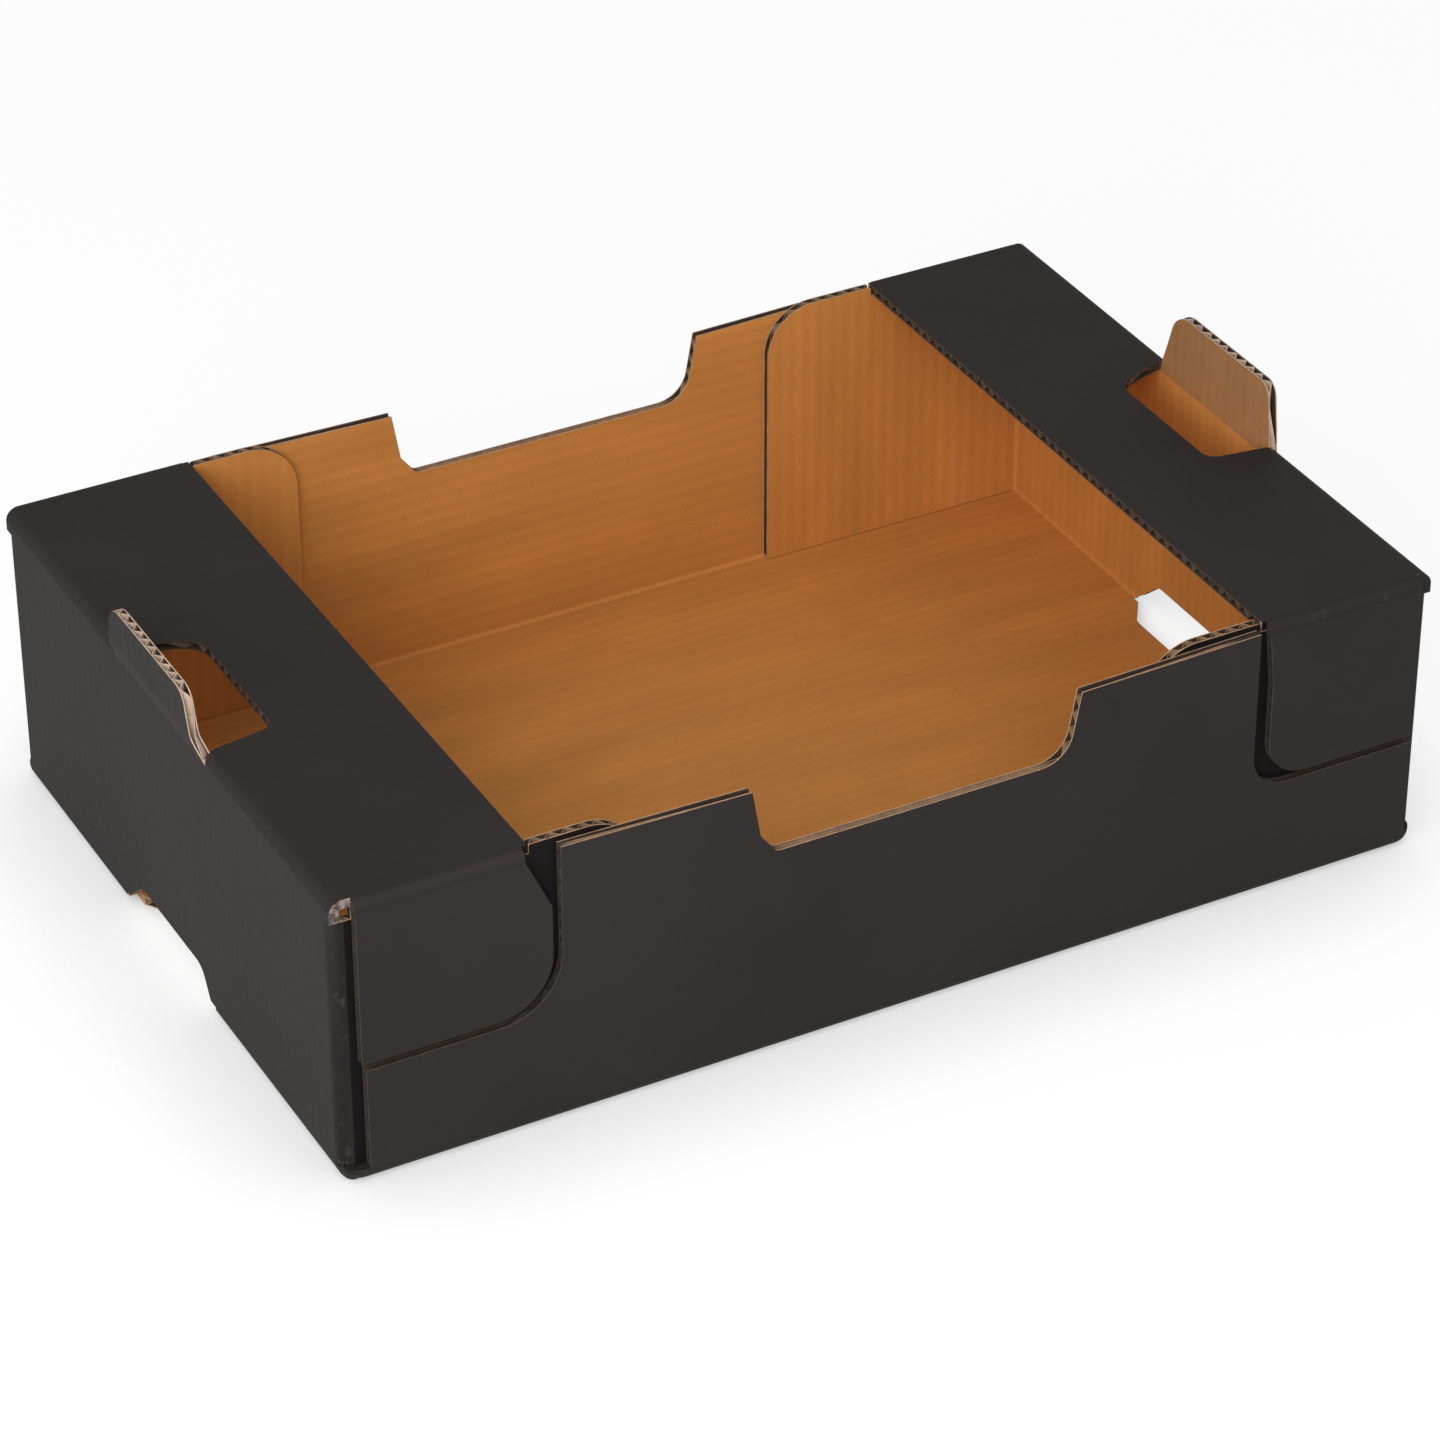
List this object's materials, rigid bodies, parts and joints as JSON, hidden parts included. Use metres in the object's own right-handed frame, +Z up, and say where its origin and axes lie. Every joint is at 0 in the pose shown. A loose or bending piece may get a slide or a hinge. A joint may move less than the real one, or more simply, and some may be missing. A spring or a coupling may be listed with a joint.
{
  "type": "cardboard stacking tray",
  "caption": "Open-topped corrugated tray with folded-in shelves and stacking tabs at its ends, matching bottom notches, and long walls with a dip.",
  "frame": {"origin": "middle of the underside, on the plane that the tray stands on", "axes": "+X along the tray towards its right end, the one whose tab stands upright; +Y from the front long wall to the back one; +Z up"},
  "size_m": [0.608, 0.4, 0.1935],
  "materials": {
    "board": "matt black print on the outside, plain brown kraft inside and on every cut edge"
  },
  "bodies": {
    "root": {"folded_tray": "board"}
  },
  "joints": []
}
